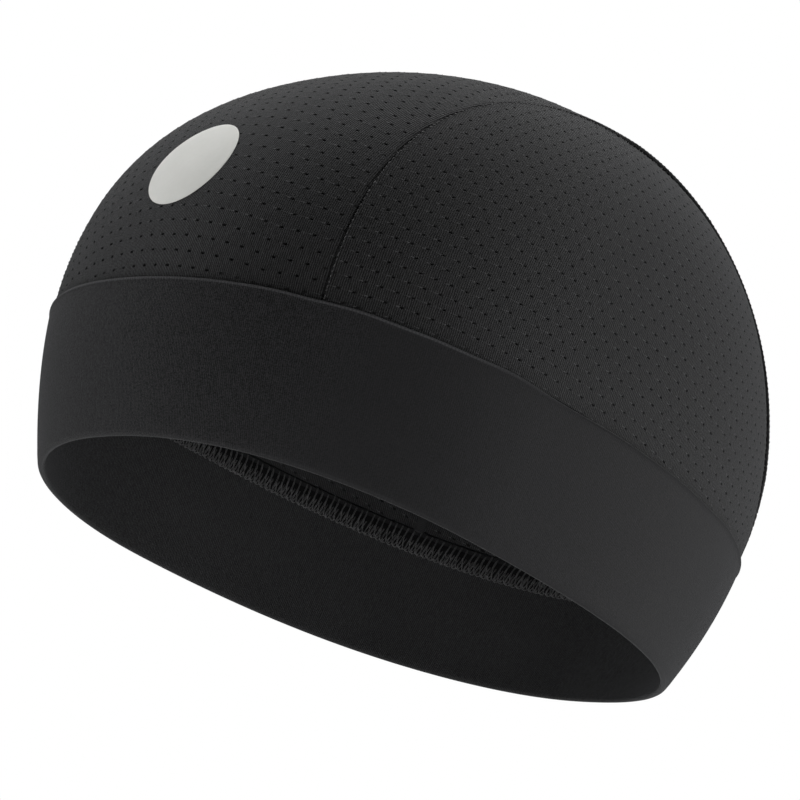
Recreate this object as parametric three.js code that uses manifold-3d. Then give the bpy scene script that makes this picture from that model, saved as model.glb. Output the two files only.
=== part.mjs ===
// Helmet liner cap: a thin stretch cap that is worn under a helmet.
// A crown of three perforated cloth panels stands on a plain band, which is folded double at the rim.
// Inside, an overlocked strip joins crown and band. A round print sits on the front.
// Units are millimetres. +Z is up and the front faces -Y.
// Left and right are the wearer's, so the left is +X.
// The origin is in the middle of the head opening, on the panels' middle line and in the plane that
// the rim's lowest points touch.

import * as THREE from 'three';
import { mergeVertices } from 'three/addons/utils/BufferGeometryUtils.js';
import Module from 'manifold-3d';

// The worn form, measured on the outside of the crown cloth.
const WIDEST_Y = -17.1; // where the form is widest, from the centre of the opening
const WIDEST_HEIGHT = 49.9;
const CROWN_HEIGHT = 133.8;
const CROWN_SHIFT = 19.6; // how far the highest point lies behind the widest line
const FRONT_REACH = 82.5; // from the widest line to the front
const BACK_REACH = 115.1; // from the widest line to the back
const SIDE_REACH = 82.5; // from the middle to either side
const FRONT_DRAW_IN = 14.1; // how far the band comes in between the widest line and the rim
const BACK_DRAW_IN = 12.3;
const SIDE_DRAW_IN = 5.5;
const DRAW_IN_POWER = 1.8;
const FORM_TURN = THREE.MathUtils.degToRad(-6.5); // the head sits turned a little under the panels

// Powers of the curves: 2 is an ellipse, and more is squarer.
const PLAN_POWER = 2.225;
const FRONT_POWER = 2.425;
const BACK_POWER = 1.851;
const SIDE_POWER = 2.681;

// The rim rises a little at the front and the back.
const RIM_RISE_FRONT = 3.0;
const RIM_RISE_BACK = 1.3;

// Upright height of the band, rim fold to top edge.
const BAND_FRONT = 38.5;
const BAND_BACK = 37.3;
const BAND_SIDE = 40.8;

// Cloth.
const CROWN_WALL = 1.1;
const BAND_WALL = 2.0; // two layers of jersey
const BAND_PROUD = 0.9; // how far the band stands out from the crown
const STRIP_WALL = 1.2;
const STRIP_DROP = 6.4; // how far the overlocked strip hangs down over the band
const STRIP_RISE = 0.9; // how far it reaches up behind the crown
const CLEARANCE = 0.3; // gap that touching pieces keep

// The centre panel, seen from above.
const CENTRE_PANEL_WIDTH = 102.6; // across, at its narrowest
const WAIST_AHEAD = 14.3; // how far ahead of the widest line it is narrowest
const PANEL_FLARE = 7.9; // how much wider it is one FLARE_RUN ahead or behind
const FLARE_RUN = 80;

// The round print.
const DISC_DIAMETER = 28.4;
const DISC_HEIGHT = 75; // of its centre above the rim plane
const DISC_THICKNESS = 0.5;

// How finely the curved walls are faceted.
const SIDES = 72;
const CROWN_ROWS = 20;
const BAND_ROWS = 6;
const FOLD_STEPS = 4;
const SEAM_STEPS = 16;
const DISC_SIDES = 32;
const DISC_RINGS = 2;

const UP = new THREE.Vector3(0, 0, 1);

const wasm = await Module();
wasm.setup();

// A smooth level round the cap from its values at the front, the back and both sides.
function levelRound(front, back, side, angle) {
  const mean = (front + back) / 4 + side / 2;
  const tilt = (front - back) / 2;
  const bow = (front + back) / 4 - side / 2;
  return mean + tilt * Math.cos(angle) + bow * Math.cos(2 * angle);
}

function rimLevel(angle) {
  return levelRound(RIM_RISE_FRONT, RIM_RISE_BACK, 0, angle);
}

function bandTop(angle) {
  return rimLevel(angle) + levelRound(BAND_FRONT, BAND_BACK, BAND_SIDE, angle);
}

// Half-width of the form at a height: full at the widest line, closing to nothing at the top.
function reachAt(z, reach, drawIn, power, out) {
  if (z < WIDEST_HEIGHT) {
    const down = (WIDEST_HEIGHT - z) / WIDEST_HEIGHT;
    return reach - drawIn * down ** DRAW_IN_POWER + out;
  }
  const up = Math.min((z - WIDEST_HEIGHT) / (CROWN_HEIGHT + out - WIDEST_HEIGHT), 1);
  return (reach + out) * (1 - up ** power) ** (1 / power);
}

function roundedShare(value) {
  return Math.sign(value) * Math.abs(value) ** (2 / PLAN_POWER);
}

// A point of the form at a plan angle (0 is the front, a quarter turn is +X) and a height,
// moved outwards by out, or inwards where out is negative.
function formPoint(angle, z, out) {
  const forward = Math.cos(angle);
  const ahead = forward > 0
    ? reachAt(z, FRONT_REACH, FRONT_DRAW_IN, FRONT_POWER, out)
    : reachAt(z, BACK_REACH, BACK_DRAW_IN, BACK_POWER, out);
  const aside = reachAt(z, SIDE_REACH, SIDE_DRAW_IN, SIDE_POWER, out);
  const up = Math.max(z - WIDEST_HEIGHT, 0) / (CROWN_HEIGHT + out - WIDEST_HEIGHT);
  const middle = CROWN_SHIFT * Math.min(up, 1) ** 2;
  return placedOnHead(aside * roundedShare(Math.sin(angle)), middle - ahead * roundedShare(forward), z);
}

// Turns a point with the head, about the middle of the widest line.
function placedOnHead(x, y, z) {
  return new THREE.Vector3(x, y, z).applyAxisAngle(UP, FORM_TURN).add(new THREE.Vector3(0, WIDEST_Y, 0));
}

// One closed ring of points round the cap. levelAt gives the height for each angle.
function ring(levelAt, out) {
  return Array.from({ length: SIDES }, (_, i) => {
    const angle = (2 * Math.PI * i) / SIDES;
    return formPoint(angle, levelAt(angle), out);
  });
}

function signedVolume(points, triangles) {
  let total = 0;
  for (const [a, b, c] of triangles) {
    total += points[a].dot(points[b].clone().cross(points[c])) / 6;
  }
  return total;
}

function closedGeometry(points, triangles) {
  const flip = signedVolume(points, triangles) < 0;
  const index = triangles.flatMap(([a, b, c]) => (flip ? [a, c, b] : [a, b, c]));
  const geometry = new THREE.BufferGeometry();
  geometry.setAttribute('position', new THREE.Float32BufferAttribute(points.flatMap((p) => p.toArray()), 3));
  geometry.setIndex(index);
  return geometry;
}

// A closed solid through equal rings. With poles, a point closes each end.
// Without poles, the last ring joins the first, as in a hoop.
function solidThroughRings(rings, poles = null) {
  const count = rings[0].length;
  const points = rings.flat();
  const triangles = [];
  const joins = poles ? rings.length - 1 : rings.length;
  for (let row = 0; row < joins; row += 1) {
    const next = (row + 1) % rings.length;
    for (let i = 0; i < count; i += 1) {
      const j = (i + 1) % count;
      triangles.push([row * count + i, row * count + j, next * count + j]);
      triangles.push([row * count + i, next * count + j, next * count + i]);
    }
  }
  if (poles) {
    const last = (rings.length - 1) * count;
    const [start, end] = [points.push(poles[0]) - 1, points.push(poles[1]) - 1];
    for (let i = 0; i < count; i += 1) {
      const j = (i + 1) % count;
      triangles.push([start, j, i]);
      triangles.push([end, last + i, last + j]);
    }
  }
  return closedGeometry(points, triangles);
}

function toManifold(geometry) {
  const bare = geometry.clone();
  bare.deleteAttribute('normal');
  bare.deleteAttribute('uv');
  const merged = mergeVertices(bare);
  return new wasm.Manifold(new wasm.Mesh({
    numProp: 3,
    vertProperties: new Float32Array(merged.attributes.position.array),
    triVerts: new Uint32Array(merged.index.array),
  }));
}

function toGeometry(solid) {
  const mesh = solid.getMesh();
  const geometry = new THREE.BufferGeometry();
  geometry.setAttribute('position', new THREE.BufferAttribute(new Float32Array(mesh.vertProperties), 3));
  geometry.setIndex(new THREE.BufferAttribute(new Uint32Array(mesh.triVerts), 1));
  return geometry;
}

// The whole crown as one thin shell, open below, from the band's top edge to the highest point.
function crownShell() {
  const wall = (out) => Array.from({ length: CROWN_ROWS }, (_, row) => {
    const share = Math.sin((row / CROWN_ROWS) * (Math.PI / 2));
    return ring((angle) => {
      const foot = bandTop(angle) + CLEARANCE;
      return foot + (CROWN_HEIGHT + out - foot) * share;
    }, out);
  });
  const top = (out) => placedOnHead(0, CROWN_SHIFT, CROWN_HEIGHT + out);
  const outside = wall(0).reverse();
  const inside = wall(-CROWN_WALL);
  return solidThroughRings([...outside, ...inside], [top(0), top(-CROWN_WALL)]);
}

// The plan of the centre panel: two seams that bow in towards each other over the crown.
// spare widens it on both sides.
function panelCutter(spare) {
  const reach = FRONT_REACH + BACK_REACH;
  const halfWidth = (y) => {
    const run = (y + WAIST_AHEAD) / FLARE_RUN;
    return CENTRE_PANEL_WIDTH / 2 + (PANEL_FLARE / 2) * run ** 2 + spare;
  };
  const steps = Array.from({ length: SEAM_STEPS + 1 }, (_, i) => -reach + (2 * reach * i) / SEAM_STEPS);
  const right = steps.map((y) => new THREE.Vector2(halfWidth(y), y));
  const left = steps.map((y) => new THREE.Vector2(-halfWidth(y), y)).reverse();
  const cutter = new THREE.ExtrudeGeometry(new THREE.Shape([...right, ...left]), {
    depth: 2 * CROWN_HEIGHT,
    bevelEnabled: false,
  });
  return cutter.translate(0, WIDEST_Y, 0);
}

// A box that holds everything on the wearer's left of the panels' middle line.
function leftHalf() {
  const reach = FRONT_REACH + BACK_REACH;
  const box = new THREE.BoxGeometry(reach, 4 * reach, 4 * CROWN_HEIGHT);
  return box.translate(reach / 2, 0, 0);
}

function crownPanels() {
  const crown = toManifold(crownShell());
  const sides = crown.subtract(toManifold(panelCutter(CLEARANCE / 2)));
  const half = toManifold(leftHalf());
  return {
    centre: toGeometry(crown.intersect(toManifold(panelCutter(-CLEARANCE / 2)))),
    left: toGeometry(sides.intersect(half)),
    right: toGeometry(sides.subtract(half)),
  };
}

// The band: an outer and an inner face, with a round fold at the rim.
function bandSolid() {
  const inner = BAND_PROUD - BAND_WALL;
  const fold = BAND_WALL / 2;
  const share = (part) => (angle) => {
    const foot = rimLevel(angle) + fold;
    return foot + (bandTop(angle) - foot) * part;
  };
  const rows = Array.from({ length: BAND_ROWS + 1 }, (_, row) => row / BAND_ROWS);
  const outside = rows.map((part) => ring(share(part), BAND_PROUD)).reverse();
  const inside = rows.map((part) => ring(share(part), inner));
  const round = Array.from({ length: FOLD_STEPS - 1 }, (_, i) => {
    const turn = (Math.PI * (i + 1)) / FOLD_STEPS;
    return ring(
      (angle) => rimLevel(angle) + fold - fold * Math.sin(turn),
      (BAND_PROUD + inner) / 2 + fold * Math.cos(turn),
    );
  });
  return solidThroughRings([...outside, ...round, ...inside]);
}

// The overlocked strip, clear of the inner faces of band and crown.
function stripSolid() {
  const outer = -Math.max(CROWN_WALL, BAND_WALL - BAND_PROUD) - CLEARANCE;
  const inner = outer - STRIP_WALL;
  const low = (angle) => bandTop(angle) - STRIP_DROP;
  const high = (angle) => bandTop(angle) + STRIP_RISE;
  return solidThroughRings([ring(low, outer), ring(high, outer), ring(high, inner), ring(low, inner)]);
}

// The plan angle at which the panels' middle line meets the front of the form at a height.
function middleFrontAngle(z) {
  let angle = -FORM_TURN;
  for (let pass = 0; pass < 20; pass += 1) {
    const point = formPoint(angle, z, 0);
    angle -= Math.atan2(point.x, WIDEST_Y - point.y);
  }
  return angle;
}

// The round print, bent over the crown's curve: each of its points lies straight above its flat place.
function discSolid() {
  const step = 0.01;
  const middleAngle = middleFrontAngle(DISC_HEIGHT);
  const centre = formPoint(middleAngle, DISC_HEIGHT, 0);
  const across = formPoint(middleAngle + step, DISC_HEIGHT, 0).sub(centre).normalize();
  const slope = formPoint(middleAngle, DISC_HEIGHT + step, 0).sub(centre).normalize();
  const facing = across.clone().cross(slope).normalize();
  const upward = facing.clone().cross(across);

  const onForm = (x, y, out) => {
    let angle = middleAngle;
    let z = DISC_HEIGHT;
    for (let pass = 0; pass < 12; pass += 1) {
      const here = formPoint(angle, z, out);
      const byAngle = formPoint(angle + step, z, out).sub(here).divideScalar(step);
      const byHeight = formPoint(angle, z + step, out).sub(here).divideScalar(step);
      const miss = here.sub(centre);
      const [ax, ay] = [byAngle.dot(across), byAngle.dot(upward)];
      const [bx, by] = [byHeight.dot(across), byHeight.dot(upward)];
      const [ex, ey] = [x - miss.dot(across), y - miss.dot(upward)];
      const scale = ax * by - ay * bx;
      angle += (ex * by - ey * bx) / scale;
      z += (ey * ax - ex * ay) / scale;
    }
    return formPoint(angle, z, out);
  };

  const circle = (radius, out) => Array.from({ length: DISC_SIDES }, (_, i) => {
    const turn = (2 * Math.PI * i) / DISC_SIDES;
    return onForm(radius * Math.cos(turn), radius * Math.sin(turn), out);
  });
  const radii = Array.from({ length: DISC_RINGS }, (_, i) => (DISC_DIAMETER / 2) * ((i + 1) / DISC_RINGS));
  const [low, high] = [CLEARANCE, CLEARANCE + DISC_THICKNESS];
  const face = radii.map((radius) => circle(radius, high));
  const back = radii.map((radius) => circle(radius, low)).reverse();
  return solidThroughRings([...face, ...back], [onForm(0, 0, high), onForm(0, 0, low)]);
}

const CROWN_CLOTH = new THREE.MeshStandardMaterial({ color: 0x29292a, roughness: 0.9, metalness: 0 });
const BAND_JERSEY = new THREE.MeshStandardMaterial({ color: 0x252526, roughness: 0.85, metalness: 0 });
const OVERLOCK_THREAD = new THREE.MeshStandardMaterial({ color: 0x2e2e2f, roughness: 0.8, metalness: 0 });
const DISC_PRINT = new THREE.MeshStandardMaterial({ color: 0xd0d0ca, roughness: 0.5, metalness: 0 });

const cap = new THREE.Group();

function addPiece(name, geometry, material) {
  const mesh = new THREE.Mesh(geometry, material);
  mesh.name = name;
  cap.add(mesh);
}

const panels = crownPanels();
addPiece('centre_panel', panels.centre, CROWN_CLOTH);
addPiece('side_panel_left', panels.left, CROWN_CLOTH);
addPiece('side_panel_right', panels.right, CROWN_CLOTH);
addPiece('band', bandSolid(), BAND_JERSEY);
addPiece('seam_strip', stripSolid(), OVERLOCK_THREAD);
addPiece('front_disc', discSolid(), DISC_PRINT);

export default cap;
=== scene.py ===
"""Helmet liner cap: the modelled cloth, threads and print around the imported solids, with light and camera.

Lengths are millimetres until a mesh is made, and metres in Blender. The front faces -Y and +Z is up.
"""
import math

import bpy
import numpy as np
from mathutils import Matrix, Vector
from mathutils.geometry import delaunay_2d_cdt


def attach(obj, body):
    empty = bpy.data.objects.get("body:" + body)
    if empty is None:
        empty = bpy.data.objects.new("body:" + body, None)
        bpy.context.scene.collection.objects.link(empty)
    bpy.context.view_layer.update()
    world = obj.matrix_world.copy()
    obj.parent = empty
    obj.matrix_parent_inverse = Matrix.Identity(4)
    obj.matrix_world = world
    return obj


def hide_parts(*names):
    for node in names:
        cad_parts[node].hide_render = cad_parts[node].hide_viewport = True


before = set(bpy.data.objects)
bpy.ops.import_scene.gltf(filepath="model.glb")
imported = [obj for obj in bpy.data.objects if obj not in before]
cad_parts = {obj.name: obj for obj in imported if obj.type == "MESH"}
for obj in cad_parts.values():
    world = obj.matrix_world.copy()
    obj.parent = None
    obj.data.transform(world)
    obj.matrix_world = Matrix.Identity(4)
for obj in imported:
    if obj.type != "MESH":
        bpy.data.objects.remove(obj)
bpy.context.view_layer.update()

METRES = 0.001
TAU = 2 * math.pi
FAR = 1e9
HALVINGS = 44

# The worn form, as in the part's source.
WIDEST_Y = -17.1
WIDEST_HEIGHT = 49.9
CROWN_HEIGHT = 133.8
CROWN_SHIFT = 19.6
FRONT_REACH, BACK_REACH, SIDE_REACH = 82.5, 115.1, 82.5
FRONT_DRAW_IN, BACK_DRAW_IN, SIDE_DRAW_IN = 14.1, 12.3, 5.5
DRAW_IN_POWER = 1.8
FORM_TURN = math.radians(-6.5)
PLAN_POWER = 2.225
FRONT_POWER, BACK_POWER, SIDE_POWER = 2.425, 1.851, 2.681
RIM_RISE_FRONT, RIM_RISE_BACK = 3.0, 1.3
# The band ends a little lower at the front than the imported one, as in the photo.
BAND_FRONT, BAND_BACK, BAND_SIDE = 37.5, 37.3, 40.8
CROWN_WALL = 1.1
BAND_WALL = 2.0
BAND_PROUD = 0.9
STRIP_RISE = 0.9
CLEARANCE = 0.3
CENTRE_PANEL_WIDTH = 102.6
WAIST_AHEAD = 14.3
PANEL_FLARE = 7.9
FLARE_RUN = 80
DISC_DIAMETER = 28.4
DISC_HEIGHT = 75
# Points inside the form: surfaces face away from the first, and rays to the seams and the middle line start
# at the others.
FORM_MIDDLE = np.array([0, WIDEST_Y + 8, 55])
SEAM_MIDDLE = np.array([0, WIDEST_Y + 10, 46])
RAY_MIDDLE = np.array([0, WIDEST_Y + 8, 62])


# The form
def level_round(front, back, side, angle):
    mean = (front + back) / 4 + side / 2
    bow = (front + back) / 4 - side / 2
    return mean + (front - back) / 2 * np.cos(angle) + bow * np.cos(2 * angle)


def rim_level(angle):
    return level_round(RIM_RISE_FRONT, RIM_RISE_BACK, 0, angle)


def band_top(angle):
    return rim_level(angle) + level_round(BAND_FRONT, BAND_BACK, BAND_SIDE, angle)


def reach_at(z, reach, draw_in, power, out):
    down = np.clip((WIDEST_HEIGHT - z) / WIDEST_HEIGHT, 0, None)
    up = np.clip((z - WIDEST_HEIGHT) / (CROWN_HEIGHT + out - WIDEST_HEIGHT), 0, 1)
    high = (reach + out) * (1 - up ** power) ** (1 / power)
    return np.where(z < WIDEST_HEIGHT, reach - draw_in * down ** DRAW_IN_POWER + out, high)


def reaches_at(z, forward, out):
    """How far the form reaches ahead (or back, where forward is negative) and aside at a height."""
    ahead = np.where(
        forward > 0,
        reach_at(z, FRONT_REACH, FRONT_DRAW_IN, FRONT_POWER, out),
        reach_at(z, BACK_REACH, BACK_DRAW_IN, BACK_POWER, out),
    )
    return ahead, reach_at(z, SIDE_REACH, SIDE_DRAW_IN, SIDE_POWER, out)


def middle_at(z, out=0.0):
    up = np.clip((z - WIDEST_HEIGHT) / (CROWN_HEIGHT + out - WIDEST_HEIGHT), 0, 1)
    return CROWN_SHIFT * up ** 2


def turned(x, y, angle):
    return x * math.cos(angle) - y * math.sin(angle), x * math.sin(angle) + y * math.cos(angle)


def signed_power(value, power):
    return np.sign(value) * np.abs(value) ** power


def form_point(angle, z, out=0.0):
    """A point of the form at a plan angle (0 is the front) and a height, moved outwards by out."""
    angle, z, out = np.broadcast_arrays(*(np.asarray(a, float) for a in (angle, z, out)))
    forward = np.cos(angle)
    ahead, aside = reaches_at(z, forward, out)
    x = aside * signed_power(np.sin(angle), 2 / PLAN_POWER)
    y = middle_at(z, out) - ahead * signed_power(forward, 2 / PLAN_POWER)
    x, y = turned(x, y, FORM_TURN)
    return np.stack([x, y + WIDEST_Y, z], -1)


def head_shares(point):
    """Sideways and forward shares of the form's reach at a point: together they make 1 on the form."""
    x, y = turned(point[..., 0], point[..., 1] - WIDEST_Y, -FORM_TURN)
    z = point[..., 2]
    forward = middle_at(z) - y
    ahead, aside = reaches_at(z, forward, 0.0)
    tiny = 1e-9
    return x / (aside + tiny), forward / (ahead + tiny)


def is_inside(point):
    side, forward = head_shares(point)
    return (np.abs(side) ** PLAN_POWER + np.abs(forward) ** PLAN_POWER < 1) & (point[..., 2] < CROWN_HEIGHT)


def plan_angle(point):
    side, forward = head_shares(point)
    return np.arctan2(signed_power(side, PLAN_POWER / 2), signed_power(forward, PLAN_POWER / 2))


def leaving(start, way, near, far, moved_to=None):
    """Distance from start along way at which the form is left, by halving, and the last point that was tried.

    moved_to changes each point before it is tried.
    """
    near = np.full(start.shape[:-1], float(near))
    far = np.full(start.shape[:-1], float(far))
    for _ in range(HALVINGS):
        half = (near + far) / 2
        point = start + way * half[..., None]
        if moved_to:
            point = moved_to(point)
        inside = is_inside(point)
        near = np.where(inside, half, near)
        far = np.where(inside, far, half)
    return (near + far) / 2, point


def along_ray(start, way, near, far):
    return leaving(start, way, near, far)[0]


def fan(middle, first, last, count):
    """Starts and ways of rays from a point, in the upright plane from front to back, turned by degrees."""
    turn = np.radians(np.linspace(first, last, count))
    way = np.stack([0 * turn, -np.cos(turn), np.sin(turn)], -1)
    return 0 * way + middle, way


def unit(v):
    return v / (np.linalg.norm(v, axis=-1, keepdims=True) + 1e-12)


def length_along(points, axis=0):
    """Running length along a line of points, or along one axis of a grid of points."""
    step = np.linalg.norm(np.diff(points, axis=axis), axis=-1)
    return np.cumsum(np.insert(step, 0, 0, axis), axis)


def read_off(at, run, line):
    """Points of a line at the given running lengths."""
    return np.stack([np.interp(at, run, line[:, i]) for i in range(3)], -1)


def seam_half_width(y):
    return CENTRE_PANEL_WIDTH / 2 + PANEL_FLARE / 2 * ((y - WIDEST_Y + WAIST_AHEAD) / FLARE_RUN) ** 2


# Meshes
def make_mesh(name, points, faces, material, uvs=None, rows=None, wrap=None, inside=None, flat=None):
    """One object on the root body.

    uvs is the cloth map in mm, rows the second map, inside a second material with its faces, and flat the
    points that keep a given normal.
    """
    mesh = bpy.data.meshes.new(name)
    mesh.from_pydata((np.asarray(points) * METRES).tolist(), [], [list(f) for f in faces])
    mesh.validate()
    index = np.zeros(len(mesh.loops), np.int32)
    mesh.loops.foreach_get("vertex_index", index)
    for layer_name, table in (("cloth", uvs), ("rows", rows)):
        if table is None:
            continue
        spread = np.asarray(table, np.float32)[index]
        if wrap:
            quads = spread.reshape(-1, 4, 2)
            far = quads[:, :, 0].max(1) - quads[:, :, 0].min(1) > wrap / 2
            quads[far, :, 0] += np.where(quads[far, :, 0] < wrap / 2, wrap, 0)
        mesh.uv_layers.new(name=layer_name).data.foreach_set("uv", spread.ravel())
    mesh.polygons.foreach_set("use_smooth", [True] * len(mesh.polygons))
    mesh.materials.append(material)
    if inside:
        mesh.materials.append(inside[0])
        mesh.polygons.foreach_set("material_index", inside[1])
    if flat:
        facing = np.zeros(len(mesh.vertices) * 3, np.float32)
        mesh.vertex_normals.foreach_get("vector", facing)
        facing = facing.reshape(-1, 3)
        facing[flat[0]] = flat[1]
        mesh.normals_split_custom_set_from_vertices(facing.tolist())
    piece = bpy.data.objects.new(name, mesh)
    bpy.context.scene.collection.objects.link(piece)
    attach(piece, "root")
    return piece


def grid_faces(rows, columns, close_rows=False):
    """Quads between closed rings of points, each ring holding columns points."""
    faces = []
    for r in range(rows if close_rows else rows - 1):
        here, there = r * columns, (r + 1) % rows * columns
        for c in range(columns):
            d = (c + 1) % columns
            faces.append((here + c, here + d, there + d, there + c))
    return faces


def end_caps(rows, columns):
    """The first and the last ring, each as one face."""
    return [tuple(range(columns))[::-1], tuple(range((rows - 1) * columns, rows * columns))]


TUBE_SIDES = 5
# A direction that no thread follows, so the rings of a tube can be turned by it.
TUBE_GUIDE = np.array([0.31, 0.27, 0.91])


def tube(path, radius, closed=False):
    """Points and faces of a round tube along a path. radius is one number or one per point."""
    path = np.asarray(path, float)
    count = len(path)
    ahead = np.roll(path, -1, 0) - np.roll(path, 1, 0)
    if not closed:
        ahead[0] = path[1] - path[0]
        ahead[-1] = path[-1] - path[-2]
    ahead = unit(ahead)
    first = unit(np.cross(ahead, TUBE_GUIDE))
    second = np.cross(ahead, first)
    radius = np.broadcast_to(np.asarray(radius, float), (count,))
    turn = TAU * np.arange(TUBE_SIDES) / TUBE_SIDES
    ring = first[:, None] * np.cos(turn)[None, :, None] + second[:, None] * np.sin(turn)[None, :, None]
    points = (path[:, None] + ring * radius[:, None, None]).reshape(-1, 3)
    faces = grid_faces(count, TUBE_SIDES, close_rows=closed)
    return points, faces if closed else faces + end_caps(count, TUBE_SIDES)


class Heap:
    """Gathers many small meshes into one."""

    def __init__(self):
        self.points, self.faces, self.count = [], [], 0

    def add(self, points, faces):
        self.points.append(points)
        self.faces.extend(tuple(i + self.count for i in f) for f in faces)
        self.count += len(points)

    def mesh(self, name, material):
        return make_mesh(name, np.concatenate(self.points), self.faces, material)


# Cloth maps of the crown panels
class Cloth:
    """Numbers the rows of perforations and the places in them. Both are whole at a perforation.

    The rows drift with the stretch of the cloth: by a cubic in the run across and up, each in SPAN mm.
    """

    SPAN = 50.0
    ROUNDS = 60
    EASE = 0.8
    CLOSE = 0.02

    def numbers(self, u, v, row=None):
        across, up = self.runs_at(u, v)
        side = np.clip(across / self.SPAN, *self.ACROSS_LIMITS)
        high = np.clip((up - self.UP_FROM) / self.SPAN, *self.UP_LIMITS)
        powers = (
            side, side ** 2, side * high, high ** 2, side ** 3, side ** 2 * high, side * high ** 2, high ** 3
        )
        drift = self.SPAN * sum(share * power for share, power in zip(self.ROW_DRIFT, powers))
        row_now = (up - self.UP_FROM + drift) / self.ROW_GAP - self.ROW_START
        drift = self.SPAN * sum(share * power for share, power in zip(self.PLACE_DRIFT, powers))
        place = (across + drift) / self.PITCH - self.PLACE_START
        return row_now, place - self.ROW_SHIFT * (row_now if row is None else row)

    def settle(self, row, place, u, v):
        """Moves guesses over the cloth until their row and place come out whole."""
        for _ in range(self.ROUNDS):
            row_now, place_now = self.numbers(u, v, row)
            miss = self.EASE * (place - place_now) * self.PITCH, self.EASE * (row - row_now) * self.ROW_GAP
            u, v = self.kept(u, v, *miss)
        row_now, place_now = self.numbers(u, v, row)
        good = (np.abs(row - row_now) < self.CLOSE) & (np.abs(place - place_now) < self.CLOSE)
        return np.stack([u[good], v[good]], -1)


class CentrePanel(Cloth):
    """Cloth map of the centre panel: u runs from front to back along the middle line, v is the point's x."""

    ROW_GAP, PITCH, ROW_SHIFT = 4.1859, 4.5331, 0.3676
    UP_FROM, ACROSS_LIMITS, UP_LIMITS = 50.0, (-0.9, 0.8), (0.0, 2.1)
    ROW_START, PLACE_START = 0.0708, -0.0267
    ROW_DRIFT = (-0.021, 0.1341, -0.0806, 0.0516, -0.0001, -0.0286, 0.0312, 0.0074)
    PLACE_DRIFT = (0.0177, -0.0211, -0.0333, -0.0769, -0.024, -0.0274, 0.0066, -0.0225)
    # distance from the edge and how far the cloth rolls in there: the seam ditch is narrow and steep
    EDGE_ROLL = ((0.0, 0.85), (0.06, 0.62), (0.18, 0.42), (0.38, 0.22), (0.65, 0.06), (1.1, 0.0), (2.2, 0.0))
    # size of the pits and height of the floats
    PIT_SHARE, FLOAT_SHARE = 1, 1
    STEP = 0.5
    MAP_STEP = 4.0
    LOWEST = 4
    DEEP = 46
    # how far aside the map, the perforations and their first guesses go
    MAP_ASIDE, KEPT_ASIDE, START_ASIDE, GUESS_ASIDE = 64, 60, 58, 75

    def __init__(self):
        start, way = fan(RAY_MIDDLE, -58, 238, 2400)
        line = start + way * along_ray(start, way, 5, 200)[:, None]
        run = length_along(line)
        keep = line[:, 2] > self.LOWEST
        line, run = line[keep], run[keep] - run[keep][0]
        self.run = np.arange(0, run[-1], self.STEP)
        self.line = read_off(self.run, run, line)
        ahead = unit(np.gradient(self.line, axis=0))
        for _ in range(3):
            ahead[1:-1] = (ahead[:-2] + 2 * ahead[1:-1] + ahead[2:]) / 4
        self.ahead = unit(ahead)
        self.length = self.run[-1]
        self.rows = np.arange(0, self.length, self.MAP_STEP)
        self.across = np.arange(-self.MAP_ASIDE, self.MAP_ASIDE + 1, self.MAP_STEP)
        uu, vv = np.meshgrid(self.rows, self.across, indexing="ij")
        arc = length_along(self.point(uu.ravel(), vv.ravel()).reshape(*uu.shape, 3), 1)
        self.arc = arc - arc[:, len(self.across) // 2][:, None]

    def point(self, u, v):
        middle = read_off(u, self.run, self.line)
        ahead = read_off(u, self.run, self.ahead)
        inward = unit(np.stack([0 * u, ahead[:, 2], -ahead[:, 1]], -1))
        inward = np.where(((middle - RAY_MIDDLE) * inward).sum(-1, keepdims=True) > 0, -inward, inward)
        deep = middle + inward * self.DEEP
        deep[:, 0] = v
        return deep - inward * along_ray(deep, -inward, 0, 60)[:, None]

    def invert(self, point):
        u = np.empty(len(point))
        for i, p in enumerate(point):
            side = ((p - self.line) * self.ahead)[:, 1:].sum(-1)
            near = np.linalg.norm((p - self.line)[:, 1:], axis=-1)
            near = np.where(np.sign(side) != np.sign(np.roll(side, -1)), near, FAR)
            near[-1] = FAR
            k = int(np.argmin(near))
            u[i] = self.run[k] + self.STEP * side[k] / (side[k] - side[k + 1])
        return u, point[:, 0]

    def runs_at(self, u, v):
        """Arc length across and along the cloth."""
        return bilinear(self.arc, self.rows, self.across, u, v), u

    def cloth(self, u, v):
        return self.runs_at(u, v)

    def kept(self, u, v, more_across, more_up):
        v = np.clip(v + more_across, -self.KEPT_ASIDE, self.KEPT_ASIDE)
        return np.clip(u + more_up, 0, self.length), v

    def lattice(self):
        rows = np.arange(-14, self.length / self.ROW_GAP + 6)
        row, place = (numbers.ravel() for numbers in np.meshgrid(rows, np.arange(-90, 91), indexing="ij"))
        u, v = row * self.ROW_GAP + self.UP_FROM, (place + self.ROW_SHIFT * row) * self.PITCH
        keep = np.abs(v) < self.GUESS_ASIDE
        start = np.clip(v[keep], -self.START_ASIDE, self.START_ASIDE)
        return self.settle(row[keep], place[keep], u[keep], start)


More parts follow.
